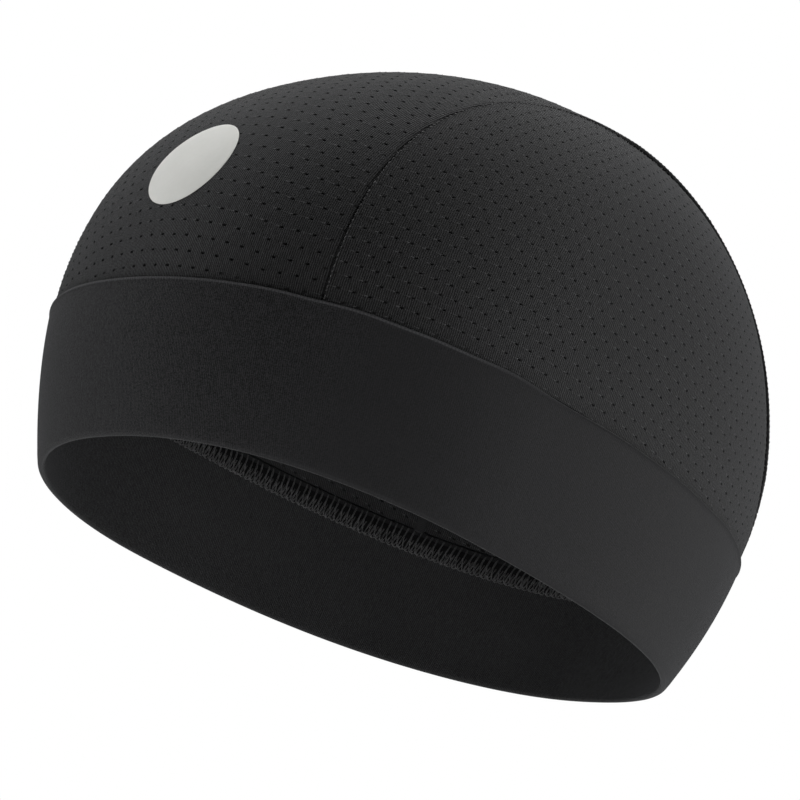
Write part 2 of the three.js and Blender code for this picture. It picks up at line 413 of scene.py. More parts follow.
class SidePanel(Cloth):
    """Cloth map of a side panel: u is the plan angle times GIRTH, v is the run up from the band.

    mirror is -1 for the right panel.
    """

    GIRTH = 84.0
    MIDDLE = 90.0
    ROW_GAP, PITCH = 3.1629, 4.1246
    UP_FROM, ACROSS_LIMITS, UP_LIMITS = 40.0, (-0.45, 2.8), (-0.8, 1.0)
    ROW_START, PLACE_START = -0.0565, -0.123
    ROW_DRIFT = (0.0181, -0.017, 0.0162, 0.031, 0.0124, -0.0217, -0.0189, -0.0004)
    PLACE_DRIFT = (0.0046, -0.017, 0.003, 0.0704, 0.0009, 0.0001, 0.0244, -0.014)
    EDGE_ROLL = (
        (0.0, 0.55), (0.04, 0.16), (0.12, -0.02), (0.3, -0.09), (0.55, -0.06), (1.1, 0.0), (2.2, 0.0)
    )
    PIT_SHARE, FLOAT_SHARE = 0.84, 0.42
    MAP_STEP = 2.0
    # limits of the map, in mm across and up, and of the first guesses of perforations
    MAP_ACROSS, MAP_UP, MAP_HEIGHTS = (6, 262), (-6, 124), (-8, 150)
    ROWS, PLACES = (-16, 32), (-50, 70)
    GUESS_ACROSS, GUESS_UP = (-60, 300), (-6, 130)

    def __init__(self, mirror):
        self.mirror = mirror
        # the same cloth on both sides, so its rows step the same way as seen from outside
        self.ROW_SHIFT = 0.3808 * mirror
        self.angles = np.radians(np.linspace(4, 176, 173))
        share = np.linspace(-0.12, 1, 600)
        foot = (band_top(self.mirror * self.angles) + CLEARANCE)[:, None]
        z = foot + (CROWN_HEIGHT - foot) * np.sin(share * math.pi / 2)[None, :]
        run = length_along(form_point(self.mirror * self.angles[:, None], z), 1)
        self.heights = np.arange(*self.MAP_HEIGHTS, 1.0)
        self.table = np.empty((len(z), len(self.heights)))
        self.runs = []
        for i in range(len(z)):
            zero = np.interp(foot[i, 0], z[i], run[i])
            self.table[i] = np.interp(self.heights, run[i] - zero, z[i])
            self.runs.append((run[i] - zero, z[i]))
        self.across = np.arange(*self.MAP_ACROSS, self.MAP_STEP)
        self.up = np.arange(*self.MAP_UP, self.MAP_STEP)
        u, v = np.meshgrid(self.across, self.up, indexing="ij")
        arc = length_along(self.point(u.ravel(), v.ravel()).reshape(*u.shape, 3))
        self.arc = arc - arc[int((self.MIDDLE - self.across[0]) / self.MAP_STEP)]

    def point(self, u, v):
        angle = u / self.GIRTH
        z = bilinear(self.table, self.angles, self.heights, angle, v)
        return form_point(self.mirror * angle, z)

    def invert(self, point):
        angle = self.mirror * plan_angle(point)
        share = np.interp(angle, self.angles, np.arange(len(self.angles)))
        low = share.astype(int).clip(0, len(self.angles) - 2)
        part = share - low
        first, second = (
            np.array([np.interp(z, *self.runs[k][::-1]) for k, z in zip(column, point[:, 2])])
            for column in (low, low + 1)
        )
        return angle * self.GIRTH, first * (1 - part) + second * part

    def runs_at(self, u, v):
        """Arc length backwards from the panel's middle, and up from the band."""
        return bilinear(self.arc, self.across, self.up, u, v), v

    def cloth(self, u, v):
        return self.mirror * self.runs_at(u, v)[0], v

    def kept(self, u, v, more_across, more_up):
        u = np.clip(u + more_across, self.across[0], self.across[-1])
        return u, np.clip(v + more_up, self.up[1], self.up[-1])

    def lattice(self):
        grid = np.meshgrid(np.arange(*self.ROWS), np.arange(*self.PLACES), indexing="ij")
        row, place = (numbers.ravel() for numbers in grid)
        u, v = (place + self.ROW_SHIFT * row) * self.PITCH + self.MIDDLE, row * self.ROW_GAP + self.UP_FROM
        (left, right), (low, high) = self.GUESS_ACROSS, self.GUESS_UP
        keep = (u > left) & (u < right) & (v > low) & (v < high)
        return self.settle(row[keep], place[keep], *self.kept(u[keep], v[keep], 0, 0))


def bilinear(table, rows, columns, u, v):
    a = np.clip((u - rows[0]) / (rows[1] - rows[0]), 0, len(rows) - 1.001)
    b = np.clip((v - columns[0]) / (columns[1] - columns[0]), 0, len(columns) - 1.001)
    i, j = a.astype(int), b.astype(int)
    a, b = a - i, b - j
    return (
        table[i, j] * (1 - a) * (1 - b)
        + table[i + 1, j] * a * (1 - b)
        + table[i, j + 1] * (1 - a) * b
        + table[i + 1, j + 1] * a * b
    )


# Edges of the panels
def seam_line(side, spare, count=560):
    """The seam on one side (1 is +X) as points of the form from the front band edge to the back band edge."""
    start, way = fan(SEAM_MIDDLE, -25, 205, 4000)

    def beside(point):
        point[:, 0] = side * (seam_half_width(point[:, 1]) + spare)
        return point

    point = leaving(start, way, 4, 150, beside)[1]
    above = point[:, 2] - (band_top(plan_angle(point)) + CLEARANCE)
    keep = np.where(above > 0)[0]
    first, last = keep[0], keep[-1]
    ends = []
    for inner, outer in ((first, first - 1), (last, last + 1)):
        part = above[inner] / (above[inner] - above[outer])
        ends.append(point[inner] + (point[outer] - point[inner]) * part)
    line = np.concatenate([ends[:1], point[first:last + 1], ends[1:]])
    run = length_along(line)
    return read_off(np.linspace(0, run[-1], count), run, line)


def foot_line(start, end, count):
    """The crown's lower edge between two of its points, the short way round."""
    a, b = plan_angle(start[None])[0], plan_angle(end[None])[0]
    if abs(b - a) > math.pi:
        b -= math.copysign(TAU, b - a)
    angle = np.linspace(a, b, count)
    return form_point(angle, band_top(angle) + CLEARANCE)


def inside_polygon(points, polygon):
    x, y = points[:, 0], points[:, 1]
    inside = np.zeros(len(points), bool)
    for (ax, ay), (bx, by) in zip(polygon, np.roll(polygon, -1, 0)):
        if ay == by:
            continue
        crosses = (ay > y) != (by > y)
        inside ^= crosses & (x < (bx - ax) * (y - ay) / (by - ay) + ax)
    return inside


def jacobian(panel, u, v, step=0.05):
    """The point at a place of the map, how it moves with u and with v, and the way its surface faces."""
    here = panel.point(u, v)
    by_u = (panel.point(u + step, v) - here) / step
    by_v = (panel.point(u, v + step) - here) / step
    facing = unit(np.cross(by_u, by_v))
    flip = ((here - FORM_MIDDLE) * facing).sum(-1) < 0
    facing = np.where(flip[:, None], -facing, facing)
    return here, by_u, by_v, facing


def moved(u, v, by_u, by_v, shift):
    """Map coordinates after a small shift on the surface, given in space."""
    uu = (by_u * by_u).sum(-1)
    uv = (by_u * by_v).sum(-1)
    vv = (by_v * by_v).sum(-1)
    su = (by_u * shift).sum(-1)
    sv = (by_v * shift).sum(-1)
    scale = uu * vv - uv * uv
    return u + (su * vv - sv * uv) / scale, v + (sv * uu - su * uv) / scale


# One perforation in mm along the row, up the cloth and outwards: a pit, a float of yarn left of it, and flat
# cloth round both.
EYELET_LONG = 0.56
EYELET_SHORT = 0.25
EYELET_SIDES = 6
EYELET_SUNK = 0.06
FLOAT_SPOTS = (
    (-0.74, 0.0, 0.07), (-1.0, 0.02, 0.11), (-1.3, 0.0, 0.06),
    (-0.66, 0.26, 0.0), (-0.66, -0.26, 0.0), (-1.02, 0.22, 0.0), (-1.02, -0.20, 0.0),
)
FLOAT_FOOT = 4
FLAT_SPOTS = ((0.86, 0.0), (0.5, 0.48), (0.5, -0.48), (-0.15, 0.52), (-0.15, -0.52))
PIT_DEPTH = 0.75
INNER_PIT_DEPTH = 0.28
# How much pits and floats differ from one to the next.
PIT_SPREAD = 0.12
FLOAT_SPREAD = (0.6, 1.3)
# Nearest that a perforation comes to the panel's edge.
EDGE_MARGIN = 1.75
# Just above the forehead the cloth is pulled open. This fades upwards from the band and backwards.
OPEN_HEIGHT, OPEN_HEIGHT_FADE = 19, 8
OPEN_Y, OPEN_Y_FADE = -55, 15
OPEN_NARROW = 0.08
OPEN_TALL = 0.55
# The seam ditch is deepest low down: its least and its full share, where it starts to weaken and over what run.
DITCH_SHARES = (0.45, 1.5)
DITCH_FROM, DITCH_RUN = 45, 45
FOOT_ROLL = 0.12
PINCH_DEPTH = 0.12
PINCH_RUN = 4.0
# Over the top and down the back the sewn allowance lifts the centre panel's edge.
SEAM_LIFT = 1.5
SEAM_LIFT_RUN = 7.0
SEAM_LIFT_Y_RUN = 40
SEAM_LIFT_HEIGHT = 25


def row_ways(panel, u, v, by_u, by_v, face):
    """Unit vectors along the row, rightwards as seen from outside, and up the cloth."""
    step = 0.2
    row = panel.numbers(u, v)[0]
    row_u = panel.numbers(u + step, v)[0] - row
    row_v = panel.numbers(u, v + step)[0] - row
    along = unit(by_u * row_v[:, None] - by_v * row_u[:, None])
    down = unit(np.cross(face, along))[:, 2] < 0
    along[down] = -along[down]
    return along, unit(np.cross(face, along))


def nearest(points, others):
    """Distance from each point to the nearest of the others."""
    gap = np.full(len(points), FAR)
    for other in others:
        gap = np.minimum(gap, np.linalg.norm(points - other, axis=-1))
    return gap


def rolled_edge(panel, edge, is_seam):
    """Rows of map points that follow a panel's edge inwards, how deep each lies, and the edge on the map."""
    u, v = panel.invert(edge)
    _, by_u, by_v, facing = jacobian(panel, u, v)
    inward = np.cross(facing, unit(np.roll(edge, -1, 0) - np.roll(edge, 1, 0)))
    polygon = np.stack([u, v], -1)
    if inside_polygon(np.stack(moved(u, v, by_u, by_v, inward), -1), polygon).mean() < 0.5:
        inward = -inward
    deep = np.clip(DITCH_SHARES[1] - (edge[:, 2] - DITCH_FROM) / DITCH_RUN, *DITCH_SHARES)
    deep = np.where(is_seam, deep, FOOT_ROLL)
    us, vs, drops = [], [], []
    for distance, drop in panel.EDGE_ROLL:
        row_u, row_v = moved(u, v, by_u, by_v, inward * distance)
        good = np.ones(len(u), bool)
        if distance:
            # further in, fewer points do
            step = 1 if distance < 0.5 else 2 if distance < 2 else 3
            good = inside_polygon(np.stack([row_u, row_v], -1), polygon) & (np.arange(len(u)) % step == 0)
        us.append(row_u[good])
        vs.append(row_v[good])
        drops.append(drop * deep[good])
    return us, vs, drops, polygon


def facing_wrong(points, corners, face):
    """Which triangles of points turn their back on the surface's face."""
    a, b, c = (points[corners[:, k]] for k in range(3))
    return (np.cross(b - a, c - a) * face[corners[:, 0]]).sum(-1) < 0


def pit_faces(loops, turned_over, count, first_sunk, first_risen):
    """Walls and floors of the blind pits in the outer and in the inner face."""
    faces = []
    sides = loops.shape[1]
    for k, loop in enumerate(loops.tolist()):
        ring = list(range(sides))[::-1 if turned_over[k] else 1]
        sunk, risen = first_sunk + k * sides, first_risen + k * sides
        for i, j in zip(ring, ring[1:] + ring[:1]):
            faces.append((loop[i], loop[j], sunk + j, sunk + i))
            faces.append((loop[j] + count, loop[i] + count, risen + i, risen + j))
        faces.append(tuple(sunk + i for i in ring))
        faces.append(tuple(risen + i for i in ring[::-1]))
    return faces


def knit_panel(name, panel, corners, rng):
    """One perforated crown panel. corners is the closed edge as lines of points, each a seam or a foot."""
    is_centre = isinstance(panel, CentrePanel)
    edge = np.concatenate([line[:-1] for line, _ in corners])
    is_seam = np.concatenate([np.full(len(line) - 1, kind == "seam") for line, kind in corners])
    us, vs, drops, polygon = rolled_edge(panel, edge, is_seam)

    spots = panel.lattice()
    spots = spots[inside_polygon(spots, polygon)]
    space = panel.point(spots[:, 0], spots[:, 1])
    clear = nearest(space, edge[::2]) > EDGE_MARGIN
    spots, space = spots[clear], space[clear]
    su, sv = spots[:, 0], spots[:, 1]
    _, sbu, sbv, sface = jacobian(panel, su, sv)
    along, upward = row_ways(panel, su, sv, sbu, sbv, sface)
    # where the cloth is pulled open, pits are wider and floats don't show
    above = space[:, 2] - band_top(plan_angle(space))
    open_share = np.clip((OPEN_HEIGHT - above) / OPEN_HEIGHT_FADE, 0, 1)
    open_share = open_share * np.clip((space[:, 1] - OPEN_Y) / -OPEN_Y_FADE, 0, 1) * is_centre
    size = panel.PIT_SHARE - OPEN_NARROW * open_share + rng.uniform(-PIT_SPREAD, PIT_SPREAD, len(su))
    bulge = (1 - open_share) * rng.uniform(*FLOAT_SPREAD, len(su)) * panel.FLOAT_SHARE
    turn = TAU * np.arange(EYELET_SIDES) / EYELET_SIDES
    pattern = [(EYELET_LONG * math.cos(t), EYELET_SHORT * math.sin(t), -EYELET_SUNK) for t in turn]
    pattern += list(FLOAT_SPOTS) + [(a, b, 0.0) for a, b in FLAT_SPOTS]
    first_flat = len(us) + len(pattern) - len(FLAT_SPOTS) - FLOAT_FOOT
    first = sum(len(x) for x in us)
    for k, (a, b, high) in enumerate(pattern):
        pit = k < EYELET_SIDES
        wide = size if pit else 1 + 0 * size
        tall = size * (1 + OPEN_TALL * open_share) if pit else wide
        u, v = moved(su, sv, sbu, sbv, along * (a * wide)[:, None] + upward * (b * tall)[:, None])
        us.append(u)
        vs.append(v)
        drops.append(-high * (bulge if high > 0 else 1 + 0 * bulge))
    loops = first + np.arange(EYELET_SIDES)[None, :] * len(su) + np.arange(len(su))[:, None]
    plain = np.where(np.concatenate([np.full(len(x), k >= first_flat) for k, x in enumerate(us)]))[0]

    u, v, drop = np.concatenate(us), np.concatenate(vs), np.concatenate(drops)
    flat = np.stack([u, v], -1)
    points, _, _, face = jacobian(panel, u, v)
    above = points[:, 2] - (band_top(plan_angle(points)) + CLEARANCE)
    if is_centre:
        to_seam = nearest(points, edge[np.where(is_seam)[0][::3]])
        share = np.clip((points[:, 1] + SEAM_LIFT_Y_RUN) / SEAM_LIFT_Y_RUN, 0, 1)
        share = share * np.clip(above / SEAM_LIFT_HEIGHT, 0, 1)
        lift = SEAM_LIFT * share * np.clip(1 - to_seam / SEAM_LIFT_RUN, 0, 1) ** 2
        points = points + face * lift[:, None]
    # near the foot the cloth is drawn in towards the band seam
    pinch = PINCH_DEPTH * np.clip(1 - above / PINCH_RUN, 0, 1) ** 2
    outer = points - face * (drop + pinch)[:, None]
    inner = points - face * CROWN_WALL

    edge_count = len(edge)
    edge_pairs = [(i, (i + 1) % edge_count) for i in range(edge_count)]
    result = delaunay_2d_cdt([Vector(p) for p in flat.tolist()], edge_pairs, [], 0, 1e-7, True)
    origin = [o[0] if o else -1 for o in result[3]]
    triangles = np.array([[origin[i] for i in t] for t in result[2]])
    triangles = triangles[(triangles >= 0).all(1)]
    owner = np.full(len(flat), -1)
    owner[loops.ravel()] = np.repeat(np.arange(len(loops)), loops.shape[1])
    own = owner[triangles]
    hole = (own[:, 0] >= 0) & (own[:, 0] == own[:, 1]) & (own[:, 1] == own[:, 2])
    triangles = triangles[inside_polygon(flat[triangles].mean(1), polygon) & ~hole]
    turn_over = facing_wrong(outer, triangles, face)
    triangles[turn_over] = triangles[turn_over][:, ::-1]
    count = len(flat)
    faces = [tuple(t) for t in triangles.tolist()]
    faces += [tuple(t[::-1]) for t in (triangles + count).tolist()]
    # a dictionary, because it keeps the order of the pairs
    border = {pair: True for a, b, c in triangles.tolist() for pair in ((a, b), (b, c), (c, a))}
    for a, b in border:
        if (b, a) not in border and (owner[a] < 0 or owner[b] < 0):
            faces.append((b, a, a + count, b + count))
    # each perforation is a blind pit from both faces, so no background shows through
    pit = loops.ravel()
    sunk = points[pit] - face[pit] * PIT_DEPTH
    risen = points[pit] - face[pit] * (CROWN_WALL - INNER_PIT_DEPTH)
    first_sunk, first_risen = 2 * count, 2 * count + len(pit)
    faces += pit_faces(loops, facing_wrong(outer, loops, face), count, first_sunk, first_risen)
    cloth = np.stack(panel.cloth(u, v), -1)
    rows = np.stack(panel.numbers(u, v)[::-1], -1)
    is_inner = np.array([count <= f[0] < first_sunk or f[0] >= first_risen for f in faces])
    piece = make_mesh(
        name, np.concatenate([outer, inner, sunk, risen]), faces, crown_cloth,
        uvs=np.concatenate([cloth, cloth, cloth[pit], cloth[pit]]),
        rows=np.concatenate([rows, rows, rows[pit], rows[pit]]),
        inside=(crown_inside, is_inner.astype(np.int32)),
        flat=(np.concatenate([plain, plain + count]), np.concatenate([face[plain], -face[plain]])),
    )
    return piece


# Materials
class Nodes:
    """Small helper to wire a material's nodes."""

    def __init__(self, name):
        self.material = bpy.data.materials.new(name)
        self.material.use_nodes = True
        self.tree = self.material.node_tree
        self.shader = self.tree.nodes["Principled BSDF"]

    def add(self, kind, inputs=None, **settings):
        node = self.tree.nodes.new(kind)
        for key, value in settings.items():
            setattr(node, key, value)
        for key, value in (inputs or {}).items():
            if isinstance(value, bpy.types.NodeSocket):
                self.tree.links.new(value, node.inputs[key])
            else:
                node.inputs[key].default_value = value
        return node

    def math(self, operation, a, b=0.0, c=0.0):
        return self.add("ShaderNodeMath", {0: a, 1: b, 2: c}, operation=operation).outputs[0]

    def times(self, a, b):
        return self.math("MULTIPLY", a, b)

    def plus(self, a, b):
        return self.math("ADD", a, b)

    def times_plus(self, a, b, c):
        return self.math("MULTIPLY_ADD", a, b, c)

    def centred(self, a):
        return self.math("SUBTRACT", a, 0.5)

    def size(self, a):
        return self.math("ABSOLUTE", a)

    def past_whole(self, a):
        """How far a number is past the nearest whole one."""
        return self.math("WRAP", a, 0.5, -0.5)

    def fade(self, value, low, high, first=0.0, last=1.0, smooth=False):
        """Goes from first to last as value goes from low to high."""
        limits = {"Value": value, "From Min": low, "From Max": high, "To Min": first, "To Max": last}
        kind = "SMOOTHSTEP" if smooth else "LINEAR"
        return self.add("ShaderNodeMapRange", limits, interpolation_type=kind).outputs[0]

    def noise(self, place, scale, detail, roughness=0.5):
        inputs = {"Vector": place, "Scale": scale, "Detail": detail, "Roughness": roughness}
        return self.add("ShaderNodeTexNoise", inputs).outputs[0]

    def bump(self, height, distance, strength, under=None):
        inputs = {"Height": height, "Distance": distance * METRES, "Strength": strength}
        if under:
            inputs["Normal"] = under
        return self.add("ShaderNodeBump", inputs).outputs[0]

    def mix(self, share, first, second):
        inputs = {"Factor": share, 6: first, 7: (*second, 1)}
        return self.add("ShaderNodeMix", inputs, data_type="RGBA").outputs[2]

    def ramp(self, source, low, high, first, second):
        """Maps source from low..high to the colours first..second."""
        node = self.add("ShaderNodeValToRGB", {"Fac": source})
        for element, position, colour in zip(node.color_ramp.elements, (low, high), (first, second)):
            element.position = position
            element.color = (*colour, 1)
        return node.outputs["Color"]

    def uv(self, name):
        return self.add("ShaderNodeUVMap", uv_map=name).outputs["UV"]

    def place(self):
        return self.add("ShaderNodeTexCoord").outputs["Object"]

    def parts(self, vector):
        return self.add("ShaderNodeSeparateXYZ", {0: vector}).outputs

    def set(self, **inputs):
        """Sets or links the shader's sockets, with _ for the spaces in their names."""
        for key, value in inputs.items():
            socket = self.shader.inputs[key.replace("_", " ")]
            if isinstance(value, bpy.types.NodeSocket):
                self.tree.links.new(value, socket)
            else:
                socket.default_value = value


def knit_material(
    name, dark, light, wale, course, depth, sheen, roughness, rows=False, edge=0.0, fade=(-0.07, 0.0, 0.5),
    speckle=0.0
):
    """Fine knit: upright wales with a course rhythm, from the cloth's own map in millimetres.

    wale, course and depth are the knit's spacings and relief in mm. fade holds where along the head, in
    metres, the pattern starts and stops to weaken, and what is left of it. edge scales the light colour
    for the painted highlight along the bead at the front, and turns on painted shade along the rest of
    the bead and along the rim's fold. speckle is how strongly single stitches differ.
    """
    n = Nodes(name)
    cloth = n.uv("cloth")
    across, up, _ = n.parts(cloth)
    place = n.place()
    aside, along_head, height = n.parts(place)
    # short streaks along the wales, as the yarn lies unevenly
    stretched = n.add("ShaderNodeMapping", {0: cloth, "Scale": (1 / wale, 0.42, 1)}).outputs[0]
    streak = n.noise(stretched, 0.9, 2.0, 0.6)
    sway = n.noise(place, 300.0, 2.0)
    rib = n.math("SINE", n.plus(n.times(across, TAU / wale), n.times(sway, 5.0)))
    stitch = n.math("SINE", n.plus(n.times(up, TAU / course), n.times(rib, 1.1)))
    knit = n.times(n.times_plus(stitch, 0.14, rib), n.times_plus(streak, 1.3, 0.12))
    knit = n.times_plus(n.centred(streak), 0.7, n.times_plus(knit, 0.5, 0.5))
    fade_from, fade_to, left = fade
    strength = n.fade(along_head, fade_from, fade_to, 1.0, left)
    specks = n.times(n.centred(n.noise(place, 2900.0, 1.0)), speckle)
    if rows:
        # the pattern is calmer on the flanks of the head
        strength = n.times(strength, n.fade(n.size(aside), 0.062, 0.076, 1.0, 0.65))
        knit = n.plus(n.times_plus(n.centred(knit), strength, 0.5), specks)
    else:
        knit = n.times_plus(n.centred(n.plus(knit, specks)), strength, 0.5)
    patch = n.noise(place, 34.0, 3.0, 0.55)
    tone = n.times_plus(patch, 0.2, n.times(knit, 0.8))
    colour = n.ramp(tone, 0.1, 1.25, dark, light)
    relief = knit
    if edge:
        # painted highlight along the bead at the front, and painted shade along the bead at the back and along
        # the rim's fold
        to_edge = n.parts(n.uv("rows"))[1]
        ticks = n.math("SINE", n.times(across, TAU / 0.9))
        line = n.times(n.fade(to_edge, 0.05, 0.42, 1.0, 0.0, smooth=True), n.times_plus(ticks, 0.25, 0.75))
        front_bead = n.times(n.fade(up, 10.0, 30.0), n.fade(along_head, -0.06, -0.015, 1.0, 0.0))
        bead_painted_highlight = n.times(line, front_bead)
        edge_painted_shade = n.times(n.math("SUBTRACT", line, bead_painted_highlight), 0.8)
        # painted highlight first, then painted shade
        colour = n.mix(bead_painted_highlight, colour, [c * edge for c in light])
        colour = n.mix(edge_painted_shade, colour, dark)
    if rows:
        # the thin course of float yarn along each row of perforations, strongest just left of a pit: it raises
        # the bump and carries a painted highlight
        row_place, row, _ = n.parts(n.uv("rows"))
        off_row = n.size(n.past_whole(row))
        line = n.fade(off_row, 0.015, 0.055, 1.0, 0.0, smooth=True)
        near = n.fade(n.size(n.past_whole(n.plus(row_place, 0.21))), 0.06, 0.2, 1.0, 0.2, smooth=True)
        float_yarn = n.times(n.times(line, near), n.times_plus(streak, 1.6, -0.1))
        float_yarn = n.times(float_yarn, n.math("MAXIMUM", strength, 0.7))
        # just above the forehead, between the seams, the pulled cloth shows no floats
        higher = n.fade(height, 0.050, 0.058)
        behind = n.fade(along_head, -0.075, -0.062)
        beside = n.fade(n.size(aside), 0.0505, 0.0525)
        float_yarn = n.times(float_yarn, n.math("MAXIMUM", n.math("MAXIMUM", higher, behind), beside))
        relief = n.times_plus(float_yarn, 0.35, relief)
        # painted shade: inside a pit the colour goes nearly black, as the yarn there is in the dark
        off_long = n.math("POWER", n.times(n.past_whole(row_place), 6.2), 2.0)
        off_short = n.math("POWER", n.times(off_row, 9.5), 2.0)
        in_pit = n.fade(n.math("SQRT", n.plus(off_long, off_short)), 0.7, 1.15, 1.0, 0.0, smooth=True)
        # painted highlight on the float yarn
        colour = n.mix(n.times(float_yarn, 0.75), colour, [c * 2.6 for c in light])
        # painted shade inside the pits
        colour = n.mix(n.times(n.times(in_pit, 0.85), strength), colour, (0.0005, 0.0005, 0.0005))
    bump = n.bump(n.noise(place, 2600.0, 1.0), 0.05, 0.6, under=n.bump(relief, depth, 1.0))
    n.set(Base_Color=colour, Roughness=n.times_plus(patch, 0.12, roughness - 0.06), Normal=bump)
    n.set(Specular_IOR_Level=0.18, Sheen_Weight=sheen, Sheen_Roughness=0.38, Sheen_Tint=(0.92, 0.95, 1.0, 1))
    return n.material


def thread_material(name, dark, light):
    n = Nodes(name)
    place = n.place()
    strands = {"Vector": place, "Scale": 1400.0, "Distortion": 2.0, "Detail": 1.0}
    twist = n.add("ShaderNodeTexWave", strands, bands_direction="DIAGONAL").outputs["Fac"]
    tone = n.times_plus(n.noise(place, 850.0, 2.0), 0.6, n.times(twist, 0.4))
    n.set(Base_Color=n.ramp(tone, 0.25, 0.8, dark, light), Normal=n.bump(twist, 0.06, 0.8), Roughness=0.62)
    n.set(Specular_IOR_Level=0.3, Sheen_Weight=0.25)
    return n.material


def print_material(name):
    n = Nodes(name)
    place = n.place()
    grain = n.noise(place, 700.0, 3.0)
    rib = n.math("SINE", n.times(n.parts(n.uv("cloth"))[0], TAU / 0.56))
    tone = n.times_plus(n.noise(place, 60.0, 2.0), 0.7, n.times(grain, 0.3))
    n.set(
        Base_Color=n.ramp(tone, 0.3, 0.75, (0.83, 0.835, 0.79), (0.92, 0.92, 0.88)),
        Roughness=n.times_plus(grain, 0.2, 0.38),
        Normal=n.bump(grain, 0.03, 0.5, under=n.bump(rib, 0.012, 0.7)),
    )
    return n.material


crown_cloth = knit_material(
    "perforated_knit", (0.001, 0.001, 0.0011), (0.050, 0.050, 0.0515),
    wale=0.575, course=0.8, depth=0.22, sheen=0.07, roughness=0.72, rows=True, speckle=0.9,
)
# lighter copy of the crown cloth for the inner faces: partly the knit's duller reverse, partly painted light
# for the inside of the cap
crown_inside = knit_material(
    "perforated_knit_inside", (0.008, 0.008, 0.0085), (0.070, 0.070, 0.072),
    wale=0.575, course=0.8, depth=0.15, sheen=0.08, roughness=0.76, rows=True, fade=(-0.07, 0.0, 1.0),
)
band_cloth = knit_material(
    "band_knit", (0.003, 0.003, 0.0034), (0.038, 0.038, 0.040),
    wale=0.54, course=0.75, depth=0.10, sheen=0.06, roughness=0.74,
    edge=2.0, fade=(-0.10, -0.07, 0.22), speckle=3.2,
)
# lighter copy of the band cloth for the inner faces: partly the knit's duller reverse, partly painted light for
# the inside of the cap
band_inside = knit_material(
    "band_knit_inside", (0.010, 0.010, 0.0104), (0.070, 0.070, 0.072),
    wale=0.54, course=0.75, depth=0.08, sheen=0.07, roughness=0.78,
    edge=0.05, fade=(-0.05, 0.03, 0.8), speckle=1.4,
)
# a shaded and a lit copy of the inner cloth: the strip's rows under the looper threads take the darker copy as
# painted shade between the threads, its top rows and the crown seams the lighter one
shaded_strip_cloth = knit_material(
    "allowance_knit", (0.003, 0.003, 0.0033), (0.018, 0.018, 0.019),
    wale=0.5, course=0.8, depth=0.05, sheen=0.06, roughness=0.8,
)
fold_cloth = knit_material(
    "seam_fold_knit", (0.010, 0.010, 0.0105), (0.065, 0.065, 0.067),
    wale=0.5, course=0.8, depth=0.05, sheen=0.08, roughness=0.78,
)
overlock_yarn = thread_material("overlock_yarn", (0.007, 0.007, 0.0074), (0.165, 0.165, 0.168))
seam_yarn = thread_material("seam_yarn", (0.025, 0.025, 0.0255), (0.11, 0.11, 0.112))
disc_film = print_material("print_film")

# Crown panels
SIDES = ((1, "left"), (-1, "right"))
rng = np.random.default_rng(7)
left_seam_in = seam_line(1, -CLEARANCE / 2)
right_seam_in = seam_line(-1, -CLEARANCE / 2)
centre_edge = [
    (left_seam_in, "seam"),
    (foot_line(left_seam_in[-1], right_seam_in[-1], 220), "foot"),
    (right_seam_in[::-1], "seam"),
    (foot_line(right_seam_in[0], left_seam_in[0], 180), "foot"),
]
centre = knit_panel("centre_panel_cloth", CentrePanel(), centre_edge, rng)
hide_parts("centre_panel")
for side, label in SIDES:
    seam = seam_line(side, CLEARANCE / 2)
    edge = [(seam, "seam"), (foot_line(seam[-1], seam[0], 340), "foot")]
    panel = knit_panel(f"side_panel_{label}_cloth", SidePanel(side), edge, rng)
    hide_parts(f"side_panel_{label}")

# Band, from rings of points that start at the back
RING_SIDES = 480
BAND_INNER = BAND_PROUD - BAND_WALL
BAND_MIDDLE = (BAND_PROUD + BAND_INNER) / 2
FOLD = BAND_WALL / 2
FOLD_STEPS = 9
# Height over the top edge and out: the bead along the top edge, then the inner edge.
BEAD = (
    (0.05, -0.5), (0.2, -0.1), (0.27, 0.3), (0.25, 0.65), (0.1, 0.95), (-0.12, 1.10),
    (-0.4, 1.14), (-0.7, 1.02), (-1.0, 0.93), (-1.6, BAND_PROUD),
)
INNER_EDGE = ((-0.5, BAND_INNER), (-0.1, BAND_INNER + 0.2))
BEAD_DROP = 0.3
NO_EDGE = 9.0
angles = math.pi + TAU * np.arange(RING_SIDES) / RING_SIDES
foot, top = rim_level(angles), band_top(angles)


def ring_run(z):
    """Running length round the form at a height, and the same once it has closed."""
    girth = length_along(form_point(angles, z))
    return girth, girth[-1] * RING_SIDES / (RING_SIDES - 1)


def band_profile():
    """Height share from rim to top edge, extra height, and out, from the top down, round the fold and up."""
    rows = [(1, lift, out) for lift, out in BEAD]
    rows += [(s, 0.0, BAND_PROUD) for s in np.linspace(0.93, 0.10, 16)]
    rows += [(0.05, 0.0, BAND_PROUD + 0.03)]
    rows += [
        (0, FOLD - FOLD * math.sin(t), BAND_MIDDLE + FOLD * math.cos(t))
        for t in np.linspace(0, math.pi, FOLD_STEPS)
    ]
    rows += [(s, 0.0, BAND_INNER) for s in np.linspace(0.05, 0.93, 14)]
    return rows + [(1, lift, out) for lift, out in INNER_EDGE]


def to_band_edge(share, lift, out):
    """Distance from the line along the bead or along the fold, where the band's material paints its highlight
    and shade.
    """
    if share == 1 and out > 0.3:
        return abs(lift + BEAD_DROP)
    if share == 0:
        return (0.8 if out > BAND_MIDDLE else 0.4) * lift
    return NO_EDGE


